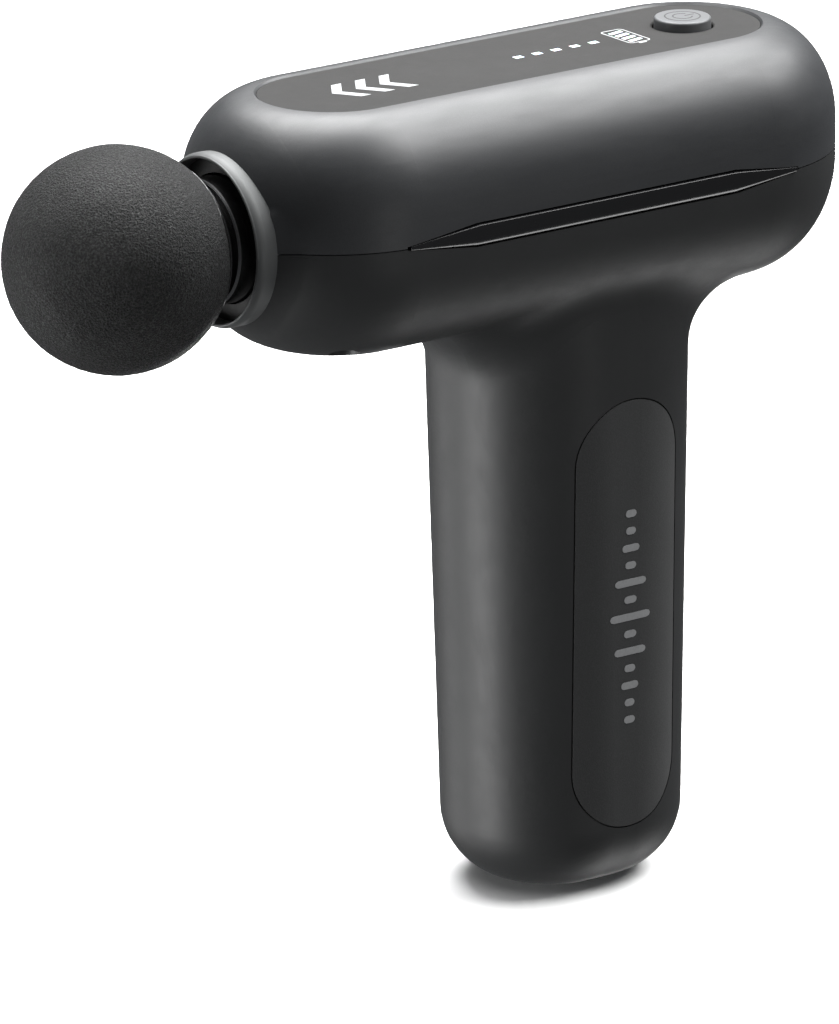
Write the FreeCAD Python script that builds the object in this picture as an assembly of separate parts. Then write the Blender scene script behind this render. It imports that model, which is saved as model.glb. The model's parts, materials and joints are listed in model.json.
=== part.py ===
import FreeCAD, Part
import math
import os

# Handheld percussion massage gun with a ball head.
# Millimetres. +Z up along the handle, -X towards the ball, Y across.
# The origin lies on the flat base of the handle, under the handle's axis.

V = FreeCAD.Vector

# ---- driving dimensions: outside ------------------------------------------
HEAD_FRONT = -80.2
HEAD_REAR = 58.8
HEAD_WIDTH = 56.8
TOP_Z = 162.3
BELLY_Z = 115.0
AXIS_Z = 138.4            # drive axis
SPLIT_Z = 139.0           # parting plane of the two shells
PANEL_WIDTH = 28.2        # flat on top of the head
SHOULDER_HEIGHT = 18.0    # elliptical shoulder from the flat down to the side
BELLY_RADIUS = 18.0       # elliptical rounding under the head, across
BELLY_HEIGHT = 22.0       # and upwards
JUNCTION_RADIUS = 14.0
HANDLE_BASE_X, HANDLE_TOP_X = 0.5, -0.4
HANDLE_BASE_HALF = (23.3, 20.6)
HANDLE_TOP_HALF = (26.2, 22.4)
HANDLE_LOFT_Z = 128.0
BASE_ROUND = 14.0
WALL = 2.4
TOP_WALL = 3.1

# ---- trim -----------------------------------------------------------------
PANEL_DEPTH = 1.5           # of the pocket in the shell
PANEL_DROP = 0.4            # the shell's rim stands this far above the panel
PANEL_GAP = 0.1
RIM_BEVEL = 0.4             # on the shell's rim round the panel
STRIP_FRONT, STRIP_REAR = -54.6, 35.1
STRIP_SHOULDERS = (-39.3, 20.6)
STRIP_HALF = 2.05
STRIP_PROUD = 0.35
STRIP_DEPTH = 1.5
STRIP_GAP = 0.3
STRIP_BEVEL = 0.8
GRIP_X = 1.0
GRIP_HALF = 12.0
GRIP_Z0, GRIP_Z1 = 13.7, 98.3
GRIP_THICK = 0.9
GRIP_GAP = 0.3
SEAM_HEIGHT, SEAM_DEPTH = 0.22, 0.35
TONGUE_HEIGHT = 1.4
TONGUE_GAP = 0.1

# ---- nose and attachment --------------------------------------------------
COLLAR_FRONT = -80.5
COLLAR_BACK = -71.5
COLLAR_IN, COLLAR_OUT = 15.5, 16.5
NOSE_RIM = (-76.3, COLLAR_OUT)      # where the nose meets the collar: x and radius
NOSE_CONE = (-72.1, 19.7)           # the cone from that rim ends inside the head here
BALL_R = 21.3
BALL_X = -100.7
BALL_CORE_R = 8.0
FLANGE_R = 15.6
FLANGE_X = (-89.0, -83.0)
STEM_R = 8.2
SLEEVE_R = 9.6
RIB_R = 9.95
RIB_X, RIB_PITCH, RIBS = -77.3, 4.0, 3
PLUG_R = 9.3
SLEEVE_END = -64.5
PLUG_END = -57.0

# ---- drive ----------------------------------------------------------------
STROKE = 8.0
CRANK_R = STROKE / 2
MOTOR_X = -22.0
PIN_X = MOTOR_X + CRANK_R           # the rest pose is the retracted dead centre
SOCKET_FRONT = -81.6
SOCKET_REAR = -45.0
SOCKET_FLOOR = -54.0
SOCKET_IN, SOCKET_OUT = 10.0, 12.0
RUN_GAP = 0.05
BUSH_OUT = 13.6
GUIDE_OUT = 15.4
GUIDE_FRONT, GUIDE_REAR = -70.0, -47.0
DAMPER_OUT = 17.2
DAMPERS = {"damper_front": (-69.5, -66.5), "damper_rear": (-51.5, -47.5)}
YOKE_HALF_Z = 3.6
YOKE_NECK_Y = 8.0
YOKE_RAIL = 3.2
ROLLER_R = 5.0
SLOT_PLAY = 0.95
PIN_R = 2.0
SHAFT_R = 2.48
DECK_Z = 121.0                      # top of the motor bracket
BRACKET_Z = (DECK_Z - 2.0, DECK_Z)
CORE_Z = (DECK_Z + 1.6, DECK_Z + 7.1)
BEARING_R = (2.5, 4.0)
HUB_R = 6.0
STATOR_R = 15.0
TEETH = 9
MAGNETS = 12
CAN_R = 18.5
CAN_Z = (DECK_Z + 1.0, DECK_Z + 10.1)
CRANK_Z = (DECK_Z + 10.4, DECK_Z + 13.0)
ROLLER_Z = (AXIS_Z - 3.4, AXIS_Z + 3.4)

# ---- battery and boards ---------------------------------------------------
CELL_R, CELL_LEN = 9.2, 65.0
CELL_X, CELL_Y, CELL_Z = 9.5, 3.4, 20.3
HOLDER_R = 10.0
HOLDER_Z = ((17.0, 26.0), (79.0, 88.0))
BOARD = 1.6
CONTROL_BOARD_TOP = 153.7
MAIN_BOARD_Y = -9.0
CHARGE_BOARD_TOP = 8.7
BUTTON_X = 29.6
BUTTON_R = 5.45
BUTTON_RAISED = 1.35
BUTTON_HOLE_R = 5.85
HOLE_BEVEL = 0.25
DOT_X0, DOT_PITCH, DOTS = -9.0, 4.4, 5
GAUGE_X = 16.1
GAUGE_BARS = 4
GAUGE_PITCH = 2.05
USB_Z = 10.5

# ---- fasteners ------------------------------------------------------------
GUIDE_SCREW = (-60.0, 14.5)
SHELL_SCREW = (44.0, 11.0)
BRACKET_SCREW_X = (-43.4, 30.0)
BRACKET_SCREW_Y = 9.0
CONTROL_SCREW_X = (-11.5, 37.5)
CONTROL_SCREW_Y = 8.0
CHARGE_SCREW = (1.0, 6.5)
LUG_Z = (124.5, 132.0)
CASE_SCREW_R = 1.5
SMALL_SCREW_R = 1.0

CEILING = TOP_Z - TOP_WALL
PANEL_Z = TOP_Z - PANEL_DROP
SMALL = 1e-6


# ---- helpers --------------------------------------------------------------
def box(x, y, z):
    """A box from three (low, high) pairs."""
    return Part.makeBox(x[1] - x[0], y[1] - y[0], z[1] - z[0], V(x[0], y[0], z[0]))


def post(r, x, y, z):
    """An upright cylinder between two heights."""
    return Part.makeCylinder(r, z[1] - z[0], V(x, y, z[0]))


def bar(r, x, z=AXIS_Z, y=0.0):
    """A cylinder along X."""
    return Part.makeCylinder(r, x[1] - x[0], V(x[0], y, z), V(1, 0, 0))


def ring(r_in, r_out, x):
    """A ring round the drive axis."""
    return bar(r_out, x).cut(bar(r_in, x))


def sides(shape):
    """A shape and its mirror image across the XZ plane."""
    return [shape, shape.mirror(V(0, 0, 0), V(0, 1, 0))]


def group(shapes):
    return Part.makeCompound(shapes)


def polygon(points, push):
    """A prism over a closed outline."""
    wire = Part.makePolygon([V(*p) for p in points] + [V(*points[0])])
    return Part.Face(wire).extrude(V(*push))


def stadium(cx, cy, z, half_x, half_y):
    """A closed outline in a level plane: two straights and two half circles."""
    s = half_x - half_y
    a, b = V(cx - s, cy - half_y, z), V(cx + s, cy - half_y, z)
    c, d = V(cx + s, cy + half_y, z), V(cx - s, cy + half_y, z)
    rear, front = V(cx + half_x, cy, z), V(cx - half_x, cy, z)
    return Part.Wire([Part.LineSegment(a, b).toShape(), Part.Arc(b, rear, c).toShape(),
                      Part.LineSegment(c, d).toShape(), Part.Arc(d, front, a).toShape()])


def slab(cx, cy, half_x, half_y, z):
    """A stadium-shaped plate between two heights."""
    return Part.Face(stadium(cx, cy, z[0], half_x, half_y)).extrude(V(0, 0, z[1] - z[0]))


def screw(x, y, head_z, shank_z, r, head_r):
    """A pan-head screw whose drive recess faces away from its shank."""
    head = post(head_r, x, y, head_z)
    recess = box((x - head_r * 0.55, x + head_r * 0.55), (y - 0.3, y + 0.3),
                 (head_z[0] - 1, head_z[0] + 0.9))
    cross = recess.fuse(recess.copy().rotated(V(x, y, 0), V(0, 0, 1), 90))
    return head.cut(cross).fuse(post(r, x, y, shank_z)).removeSplitter()


def flat_screw(x, y, head_z, tip_z, r, head_r):
    """A low-head screw that points down."""
    shank = post(r, x, y, (tip_z, head_z[0] + 0.3))
    return post(head_r, x, y, head_z).fuse(shank).removeSplitter()


def cable(points, r, bend):
    """A round cable: straight runs joined by tangent arcs of one radius."""
    pts = [V(*p) for p in points]
    edges = []
    start = pts[0]
    for before, corner, after in zip(pts, pts[1:], pts[2:]):
        u, w = (before - corner).normalize(), (after - corner).normalize()
        half = u.getAngle(w) / 2
        reach = bend / math.tan(half)
        middle = corner + (u + w).normalize() * (bend / math.sin(half) - bend)
        entry, leave = corner + u * reach, corner + w * reach
        edges.append(Part.LineSegment(start, entry).toShape())
        edges.append(Part.Arc(entry, middle, leave).toShape())
        start = leave
    edges.append(Part.LineSegment(start, pts[-1]).toShape())
    path = Part.Wire(edges)
    section = Part.Wire(Part.makeCircle(r, pts[0], (pts[1] - pts[0])))
    return path.makePipeShell([section], True, True)


def quarter(centre, a, b):
    """A quarter of an ellipse from centre + a to centre + b."""
    major, minor = (a, b) if a.Length >= b.Length else (b, a)
    curve = Part.Ellipse(centre + major, centre + minor, centre)
    u, w = curve.parameter(centre + a), curve.parameter(centre + b)
    if abs(u - w) > math.pi:
        u, w = (u + 2 * math.pi, w) if u < w else (u, w + 2 * math.pi)
    return curve.toShape(min(u, w), max(u, w))


# ---- outer form -----------------------------------------------------------
def head_section(cx, angle, t, top_t):
    """Half of the head's section, in the upright plane through (cx, 0)."""
    out, up = V(math.cos(angle), math.sin(angle), 0), V(0, 0, 1)
    half = HEAD_WIDTH / 2
    flat = PANEL_WIDTH / 2
    axis = V(cx, 0, 0)
    shoulder = axis + out * flat + up * (TOP_Z - SHOULDER_HEIGHT)
    belly = axis + out * (half - BELLY_RADIUS) + up * (BELLY_Z + BELLY_HEIGHT)
    top = up * (SHOULDER_HEIGHT - top_t)
    low = up * (t - BELLY_HEIGHT)
    side_hi = shoulder + out * (half - flat - t)
    side_lo = belly + out * (BELLY_RADIUS - t)
    ends = (axis + up * (shoulder + top).z, axis + up * (belly + low).z)
    edges = [Part.LineSegment(ends[0], shoulder + top).toShape(),
             quarter(shoulder, top, out * (half - flat - t)),
             Part.LineSegment(side_hi, side_lo).toShape(),
             quarter(belly, out * (BELLY_RADIUS - t), low),
             Part.LineSegment(belly + low, ends[1]).toShape(),
             Part.LineSegment(ends[1], ends[0]).toShape()]
    return Part.Face(Part.Wire(edges))


def head_solid(t=0.0, top_t=None):
    """The head, inset by t: a straight middle with a half turn at each end."""
    top_t = t if top_t is None else top_t
    x0, x1 = HEAD_FRONT + HEAD_WIDTH / 2, HEAD_REAR - HEAD_WIDTH / 2
    left = head_section(x0, -math.pi / 2, t, top_t).extrude(V(x1 - x0, 0, 0))
    right = head_section(x0, math.pi / 2, t, top_t).extrude(V(x1 - x0, 0, 0))
    front = head_section(x0, math.pi / 2, t, top_t).revolve(V(x0, 0, 0), V(0, 0, 1), 180)
    rear = head_section(x1, -math.pi / 2, t, top_t).revolve(V(x1, 0, 0), V(0, 0, 1), 180)
    return left.fuse([right, front, rear]).removeSplitter()


def handle_section(z, t):
    u = z / HANDLE_LOFT_Z
    cx, half_x, half_y = (a + (b - a) * u for a, b in zip(
        (HANDLE_BASE_X,) + HANDLE_BASE_HALF, (HANDLE_TOP_X,) + HANDLE_TOP_HALF))
    return stadium(cx, 0, z, half_x - t, half_y - t)


def handle_solid(t=0.0):
    """The drafted handle, inset by t, with its rounded base."""
    solid = Part.makeLoft([handle_section(t, t), handle_section(HANDLE_LOFT_Z, t)], True, True)
    rim = [e for e in solid.Edges if all(abs(v.Z - t) < SMALL for v in e.Vertexes)]
    return solid.makeFillet(BASE_ROUND - t, rim)


def body_solid(t=0.0, top_t=None):
    """Head and handle as one form, inset by t."""
    solid = head_solid(t, top_t).fuse(handle_solid(t)).removeSplitter()
    reach = max(HANDLE_TOP_HALF) + 1
    joint = []
    for edge in solid.Edges:
        b = edge.BoundBox
        level = BELLY_Z + t - 0.2 < b.ZMin and b.ZMax < HANDLE_LOFT_Z - 1
        near = -reach < b.XMin and b.XMax < reach
        if level and near and abs(b.YMin) < HANDLE_TOP_HALF[1] + 0.5:
            joint.append(edge)
    return solid.makeFillet(JUNCTION_RADIUS + t, joint)


def nose_cone():
    """The low cone that carries the head's round front up to the collar."""
    (x0, r0), (x1, r1) = NOSE_RIM, NOSE_CONE
    return Part.makeCone(r0, r1, x1 - x0, V(x0, 0, AXIS_Z), V(1, 0, 0))


# ---- outlines that several pieces share -----------------------------------
PANEL_X = (HEAD_FRONT + HEAD_REAR) / 2
PANEL_HALF_X = (HEAD_REAR - HEAD_FRONT - HEAD_WIDTH + PANEL_WIDTH) / 2


def panel_prism(grow, z):
    return slab(PANEL_X, 0, PANEL_HALF_X + grow, PANEL_WIDTH / 2 + grow, z)


def panel_bevel():
    """The flare of the pocket's mouth, from the panel's face to above the shell."""
    rims = []
    for rise in (-RIM_BEVEL, 1.0):
        grow = PANEL_GAP + RIM_BEVEL + rise
        rims.append(stadium(PANEL_X, 0, TOP_Z + rise, PANEL_HALF_X + grow, PANEL_WIDTH / 2 + grow))
    return Part.makeLoft(rims, True, True)


def strip_outline(grow, y):
    """The long pointed outline of an accent strip, on the left side."""
    h, g = STRIP_HALF + grow, 2.2 * grow
    return [(STRIP_FRONT - g, y, SPLIT_Z - 0.35), (STRIP_FRONT - g, y, SPLIT_Z + 0.35),
            (STRIP_SHOULDERS[0] - grow, y, SPLIT_Z + h), (STRIP_SHOULDERS[1], y, SPLIT_Z + h),
            (STRIP_REAR + g, y, SPLIT_Z + 0.35), (STRIP_REAR + g, y, SPLIT_Z - 0.35),
            (STRIP_SHOULDERS[1] + grow, y, SPLIT_Z - h), (STRIP_SHOULDERS[0], y, SPLIT_Z - h)]


def strip_pocket():
    y = -HEAD_WIDTH / 2
    return polygon(strip_outline(STRIP_GAP, y - 5), (0, 5 + STRIP_DEPTH, 0))


def grip_prism(grow):
    """An upright stadium across the left half of the handle."""
    half = GRIP_HALF + grow
    face = Part.Face(stadium(0, 0, 0, (GRIP_Z1 - GRIP_Z0) / 2 + grow, half))
    prism = face.extrude(V(0, 0, HANDLE_TOP_HALF[1] + 5))
    prism.rotate(V(0, 0, 0), V(0, 1, 0), -90)
    prism.rotate(V(0, 0, 0), V(0, 0, 1), 90)
    prism.translate(V(GRIP_X, 0, (GRIP_Z0 + GRIP_Z1) / 2))
    return prism


def button_hole(z):
    return post(BUTTON_HOLE_R, BUTTON_X, 0, z)


def dot_centres():
    return [DOT_X0 + DOT_PITCH * i for i in range(DOTS)]


def gauge_bar(i, grow, z):
    """One slanted bar of the charge gauge."""
    y = (i - (GAUGE_BARS - 1) / 2) * GAUGE_PITCH
    hx, hy, lean = 1.65 + grow, 0.58 + grow, 0.35
    pts = [(GAUGE_X - hx, y - hy - lean, z[0]), (GAUGE_X + hx, y - hy + lean, z[0]),
           (GAUGE_X + hx, y + hy + lean, z[0]), (GAUGE_X - hx, y + hy - lean, z[0])]
    return polygon(pts, (0, 0, z[1] - z[0]))


def dot_peg(x, grow, z):
    return box((x - 0.95 - grow, x + 0.95 + grow), (-0.72 - grow, 0.72 + grow), z)


GUIDE_SLOTS = {"dots": ((-11.4, 11.0), (-1.5, 1.5)), "gauge": ((13.6, 18.6), (-5.0, 5.0))}


# ---- housing --------------------------------------------------------------
def common_shell():
    """The whole wall of the housing with the cuts both halves share."""
    shell = body_solid().fuse(nose_cone()).cut(head_solid(WALL, TOP_WALL)).cut(handle_solid(WALL))
    shell = shell.cut(bar(COLLAR_OUT, (HEAD_FRONT - 10, COLLAR_BACK + 1.5)))
    return shell.cut(sides(strip_pocket()))


def tongue(grow):
    """The inner lip on the lower shell that locates the upper one."""
    lip = head_solid(WALL / 2 - grow).cut(head_solid(WALL + 1))
    lip = lip.common(box((-200, 200), (-50, 50), (SPLIT_Z - 3, SPLIT_Z + TONGUE_HEIGHT + grow)))
    return lip.cut([bar(COLLAR_OUT + 1.0, (HEAD_FRONT - 10, COLLAR_BACK + 3))] + sides(strip_pocket()))


def cradle(upper):
    """Saddle ribs that hold the rubber dampers round the guide."""
    ribs = []
    z = (SPLIT_Z, TOP_Z) if upper else (BELLY_Z, SPLIT_Z)
    room = head_solid(WALL - 0.2, TOP_WALL - 0.2)
    if upper:
        room = room.cut(tongue(TONGUE_GAP))
    for x in DAMPERS.values():
        ribs.append(box(x, (-30, 30), z).common(room).cut(bar(DAMPER_OUT, (x[0] - 1, x[1] + 1))))
    return ribs


def upper_shell(shell):
    half = shell.common(box((-200, 200), (-50, 50), (SPLIT_Z, TOP_Z + 10)))
    half = half.cut(tongue(TONGUE_GAP))
    x, y = SHELL_SCREW
    add = cradle(True)
    for p in sides(post(3.4, x, y, (SPLIT_Z, CEILING + 1))):
        add.append(p.common(head_solid(1.0)))
    for bx in CONTROL_SCREW_X:
        add += sides(post(2.2, bx, CONTROL_SCREW_Y, (CONTROL_BOARD_TOP, CEILING + 1)))
    half = half.fuse(add)
    cuts = [panel_prism(PANEL_GAP, (TOP_Z - PANEL_DEPTH, TOP_Z + 5)), panel_bevel(), button_hole((150, 170))]
    cuts += [box(sx, sy, (150, 170)) for sx, sy in GUIDE_SLOTS.values()]
    cuts += sides(post(CASE_SCREW_R, x, y, (SPLIT_Z - 1, 151)))
    for bx in CONTROL_SCREW_X:
        cuts += sides(post(SMALL_SCREW_R, bx, CONTROL_SCREW_Y, (150, 157.2)))
    return half.cut(cuts).removeSplitter()


def lower_shell(shell):
    half = shell.common(box((-200, 200), (-50, 50), (-10, SPLIT_Z)))
    seam = box((-200, 200), (-50, 50), (SPLIT_Z - SEAM_HEIGHT, SPLIT_Z))
    half = half.cut(seam.cut(head_solid(SEAM_DEPTH))).fuse(tongue(0))
    inside = head_solid(WALL - 0.2)
    gx, gy = GUIDE_SCREW
    sx, sy = SHELL_SCREW
    posts = sides(post(4.4, gx, gy, (BELLY_Z, LUG_Z[0]))) + sides(post(4.2, sx, sy, (BELLY_Z, SPLIT_Z)))
    for bx in BRACKET_SCREW_X:
        posts += sides(post(3.0, bx, BRACKET_SCREW_Y, (BELLY_Z, BRACKET_Z[0])))
    posts = [p.common(inside) for p in posts]
    well = handle_solid(WALL - 0.2)
    shelf_z = (1, HOLDER_Z[0][0])
    shelves = [box((-30, 30), (10.7, 12.3), shelf_z), box((-8.8, -7.2), (-30, 30), shelf_z)]
    stands = sides(post(2.0, CHARGE_SCREW[0], CHARGE_SCREW[1], (1, CHARGE_BOARD_TOP - BOARD)))
    half = half.fuse(cradle(False) + posts + [s.common(well) for s in shelves + stands])
    wide, deep = CASE_SCREW_R + 0.2, 100
    cuts = sides(post(3.0, gx, gy, (deep, 121.5))) + sides(post(wide, gx, gy, (deep, LUG_Z[0] + 1)))
    cuts += sides(post(3.0, sx, sy, (deep, 128))) + sides(post(wide, sx, sy, (deep, SPLIT_Z + 5)))
    for bx in BRACKET_SCREW_X:
        cuts += sides(post(CASE_SCREW_R, bx, BRACKET_SCREW_Y, (BRACKET_Z[0] - 1.8, DECK_Z)))
    cuts += sides(post(SMALL_SCREW_R, CHARGE_SCREW[0], CHARGE_SCREW[1], (4.0, 10)))
    cuts.append(usb_outline(0.2, (15, 40)))
    skin = grip_prism(GRIP_GAP).cut(body_solid(GRIP_THICK))
    return half.cut(cuts + sides(skin)).removeSplitter()


def usb_outline(grow, x):
    """The charging socket's rounded mouth, along X at the back of the handle."""
    face = Part.Face(stadium(0, 0, 0, 4.5 + grow, 1.6 + grow))
    solid = face.extrude(V(0, 0, x[1] - x[0]))
    solid.rotate(V(0, 0, 0), V(0, 0, 1), 90)
    solid.rotate(V(0, 0, 0), V(0, 1, 0), 90)
    solid.translate(V(x[0], 0, USB_Z))
    return solid


def grip_panel():
    """A thin rubber skin, flush in the left side of the handle."""
    return grip_prism(0).common(body_solid(0)).cut(body_solid(GRIP_THICK))


def accent_strip():
    """A long pointed strip with a bevelled face, on the left side."""
    y = -HEAD_WIDTH / 2
    base = polygon(strip_outline(0, y), (0, STRIP_DEPTH, 0))
    rims = []
    for grow, out in ((0, 0), (-STRIP_BEVEL, STRIP_PROUD)):
        points = [V(*p) for p in strip_outline(grow, y - out)]
        rims.append(Part.makePolygon(points + points[:1]))
    return base.fuse(Part.makeLoft(rims, True, True)).removeSplitter()


def top_panel():
    z = (TOP_Z - PANEL_DEPTH - 1, TOP_Z + 1)
    panel = panel_prism(0, (TOP_Z - PANEL_DEPTH, PANEL_Z)).cut(button_hole(z))
    rim = [e for e in panel.Edges if e.BoundBox.ZMin > PANEL_Z - SMALL
           and abs(e.BoundBox.XLength - 2 * BUTTON_HOLE_R) < 0.01]
    panel = panel.makeChamfer(HOLE_BEVEL, rim)
    cuts = [dot_peg(x, 0.0, z) for x in dot_centres()]
    cuts += [gauge_bar(i, 0.0, z) for i in range(GAUGE_BARS)]
    return panel.cut(cuts)


def light_guide(slot, pegs):
    """A clear plate under the ceiling with pegs that reach the panel's face."""
    (x0, x1), (y0, y1) = slot
    plate = box((x0 - 1, x1 + 1), (y0 - 1, y1 + 1), (CEILING - 1.2, CEILING))
    core = box((x0, x1), (y0, y1), (CEILING - 1.2, TOP_Z - PANEL_DEPTH))
    return plate.fuse([core] + pegs).removeSplitter()


def nose_collar():
    """The ring round the socket: a small front lip and a long round shoulder."""
    def point(x, r):
        return V(x, 0, AXIS_Z + r)
    lip = 0.3
    tip_in, tip_out = point(COLLAR_FRONT + lip, COLLAR_IN), point(COLLAR_FRONT + lip, COLLAR_IN + 2 * lip)
    tip = point(COLLAR_FRONT, COLLAR_IN + lip)
    crown = point(COLLAR_FRONT + 0.9, COLLAR_OUT - 0.11)
    shoulder = point(COLLAR_FRONT + 2.0, COLLAR_OUT)
    back_out, back_in = point(COLLAR_BACK, COLLAR_OUT), point(COLLAR_BACK, COLLAR_IN)
    edges = [Part.Arc(tip_in, tip, tip_out).toShape(), Part.Arc(tip_out, crown, shoulder).toShape(),
             Part.LineSegment(shoulder, back_out).toShape(), Part.LineSegment(back_out, back_in).toShape(),
             Part.LineSegment(back_in, tip_in).toShape()]
    return Part.Face(Part.Wire(edges)).revolve(V(0, 0, AXIS_Z), V(1, 0, 0), 360)


def dust_seal():
    """A rubber ring with a thin lip towards the moving socket."""
    back = ring(SOCKET_OUT + 0.8, COLLAR_IN, (-76.0, -74.4))
    lip = ring(SOCKET_OUT + 0.35, COLLAR_IN, (-77.0, -76.0))
    return back.fuse(lip).removeSplitter()


# ---- drive ----------------------------------------------------------------
def guide_housing():
    """The cylinder that holds the bushing, with two lugs underneath."""
    x, y = GUIDE_SCREW
    solid = bar(GUIDE_OUT, (GUIDE_FRONT, GUIDE_REAR))
    solid = solid.fuse(sides(box((x - 4.2, x + 4.2), (8.5, y + 4.0), LUG_Z)))
    cuts = sides(post(CASE_SCREW_R, x, y, (120, LUG_Z[1] - 1.2)))
    return solid.cut([bar(BUSH_OUT, (GUIDE_FRONT - 1, GUIDE_REAR + 1))] + cuts).removeSplitter()


def plunger():
    """Socket tube, neck and slotted yoke, in one moving piece."""
    tube = bar(SOCKET_OUT, (SOCKET_FRONT, SOCKET_REAR))
    tube = tube.makeChamfer(0.4, [e for e in tube.Edges if e.BoundBox.XMax < SOCKET_FRONT + SMALL])
    half_x = ROLLER_R + SLOT_PLAY
    half_y = ROLLER_R + CRANK_R + 0.6
    z = (AXIS_Z - YOKE_HALF_Z, AXIS_Z + YOKE_HALF_Z)
    neck = box((SOCKET_REAR - 1, PIN_X - half_x), (-YOKE_NECK_Y, YOKE_NECK_Y), z)
    frame = box((PIN_X - half_x - YOKE_RAIL, PIN_X + half_x + YOKE_RAIL),
                (-half_y - YOKE_RAIL, half_y + YOKE_RAIL), z)
    frame = frame.makeFillet(2.5, [e for e in frame.Edges if e.BoundBox.ZLength > 7])
    slot = box((PIN_X - half_x, PIN_X + half_x), (-half_y, half_y), (z[0] - 1, z[1] + 1))
    bore = bar(SOCKET_IN, (SOCKET_FRONT - 1, SOCKET_FLOOR))
    return tube.fuse([neck, frame]).cut([slot, bore]).removeSplitter()


def motor_bracket():
    """The long plate over the mouth of the handle, with the motor's hub."""
    plate = box((-47.2, 34), (-13, 13), BRACKET_Z)
    plate = plate.makeFillet(4.0, [e for e in plate.Edges if e.BoundBox.ZLength > 1.5])
    hub = post(HUB_R, MOTOR_X, 0, (BRACKET_Z[0], DECK_Z + 8.4))
    cuts = [post(BEARING_R[1], MOTOR_X, 0, (110, 140)), box((8, 25), (-7, 7), (110, 130)),
            box((-12.5, -6.5), (-5, 5), (110, 130))]
    for x in BRACKET_SCREW_X:
        cuts += sides(post(CASE_SCREW_R, x, BRACKET_SCREW_Y, (110, 130)))
    return plate.fuse(hub).cut(cuts).removeSplitter()


def bearing(z):
    return post(BEARING_R[1], MOTOR_X, 0, z).cut(post(BEARING_R[0], MOTOR_X, 0, z))


def spin(shape, degrees):
    turned = shape.copy()
    turned.rotate(V(MOTOR_X, 0, 0), V(0, 0, 1), degrees)
    return turned


def tooth(half, z):
    """A tooth of the stator, from its core to the air gap."""
    return box((MOTOR_X + 8.0, MOTOR_X + STATOR_R - 1.2), (-half, half), z)


def stator_core():
    z = CORE_Z
    solid = post(8.6, MOTOR_X, 0, z)
    rim = post(STATOR_R, MOTOR_X, 0, z).cut(post(STATOR_R - 1.5, MOTOR_X, 0, z))
    shoe = rim.common(box((MOTOR_X, MOTOR_X + 20), (-4.0, 4.0), z))
    for i in range(TEETH):
        solid = solid.fuse([spin(tooth(1.2, z), 360 / TEETH * i), spin(shoe, 360 / TEETH * i)])
    return solid.cut(post(HUB_R, MOTOR_X, 0, z)).removeSplitter()


def stator_windings():
    """One coil round each tooth."""
    outer = box((MOTOR_X + 9.4, MOTOR_X + STATOR_R - 1.7), (-2.3, 2.3),
                (CORE_Z[0] - 0.7, CORE_Z[1] + 0.7))
    outer = outer.makeFillet(0.6, [e for e in outer.Edges if e.BoundBox.XLength > 3])
    coil = outer.cut(tooth(1.2, CORE_Z))
    return group([spin(coil, 360 / TEETH * i) for i in range(TEETH)])


def rotor_can():
    wall = post(CAN_R, MOTOR_X, 0, CAN_Z)
    wall = wall.cut(post(CAN_R - 1.0, MOTOR_X, 0, (CAN_Z[0] - 1, CAN_Z[1] - 1.0)))
    hole = post(2.4, MOTOR_X + 11.5, 0, (120, 140))
    cuts = [spin(hole, 60 * i) for i in range(6)] + [post(SHAFT_R, MOTOR_X, 0, (110, 140))]
    return wall.cut(cuts)


def rotor_magnets():
    z = (CORE_Z[0] - 0.2, CAN_Z[1] - 1.6)
    shell = post(CAN_R - 1.0, MOTOR_X, 0, z).cut(post(STATOR_R + 0.6, MOTOR_X, 0, z))
    piece = shell.common(box((MOTOR_X, MOTOR_X + 20), (-3.6, 3.6), z))
    return group([spin(piece, 360 / MAGNETS * i) for i in range(MAGNETS)])


def crank_disc():
    """The eccentric on the shaft, with its counterweight opposite the pin."""
    half_z = CRANK_Z[0] + 1.2
    disc = post(8.0, MOTOR_X, 0, CRANK_Z)
    weight = post(15.0, MOTOR_X, 0, CRANK_Z).common(
        box((MOTOR_X - 20, MOTOR_X - 3.0), (-20, 20), CRANK_Z))
    cuts = [post(SHAFT_R, MOTOR_X, 0, (CAN_Z[1], half_z)), post(PIN_R, PIN_X, 0, (half_z + 0.2, 136))]
    return disc.fuse(weight).cut(cuts).removeSplitter()


def pin_clip():
    z = (ROLLER_Z[1] + 0.15, ROLLER_Z[1] + 0.7)
    clip = post(3.4, PIN_X, 0, z).cut(post(PIN_R, PIN_X, 0, (140, 144)))
    return clip.cut(box((PIN_X, PIN_X + 5), (-0.8, 0.8), (140, 144)))


# ---- attachment -----------------------------------------------------------
def ball_form():
    return Part.makeSphere(BALL_R, V(BALL_X, 0, AXIS_Z))


def attachment_stem():
    """Core inside the ball, glossy flange that carries on the ball's round, sleeve seat and plug."""
    flange = bar(FLANGE_R, FLANGE_X).common(ball_form())
    parts = [bar(BALL_CORE_R, (-108.0, FLANGE_X[0] + 1)), flange,
             bar(STEM_R, (FLANGE_X[1] - 1, SLEEVE_END + 1)), bar(PLUG_R, (SLEEVE_END, PLUG_END))]
    solid = parts[0].fuse(parts[1:]).removeSplitter()
    tip = [e for e in solid.Edges if abs(e.BoundBox.XMin - PLUG_END) < 0.01]
    return solid.makeChamfer(0.8, tip)


def massage_ball(stem):
    return ball_form().cut([stem, bar(FLANGE_R, (FLANGE_X[0], BALL_X + BALL_R + 1))])


def stem_sleeve():
    """Rubber sleeve with raised ribs that grip inside the socket."""
    x0, x1 = FLANGE_X[1], SLEEVE_END
    solid = bar(SLEEVE_R, (x0, x1))
    for i in range(RIBS):
        x = RIB_X + RIB_PITCH * i
        solid = solid.fuse(bar(RIB_R, (x - 0.7, x + 0.7)))
    return solid.cut(bar(STEM_R, (x0 - 1, x1 + 1))).removeSplitter()


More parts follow.
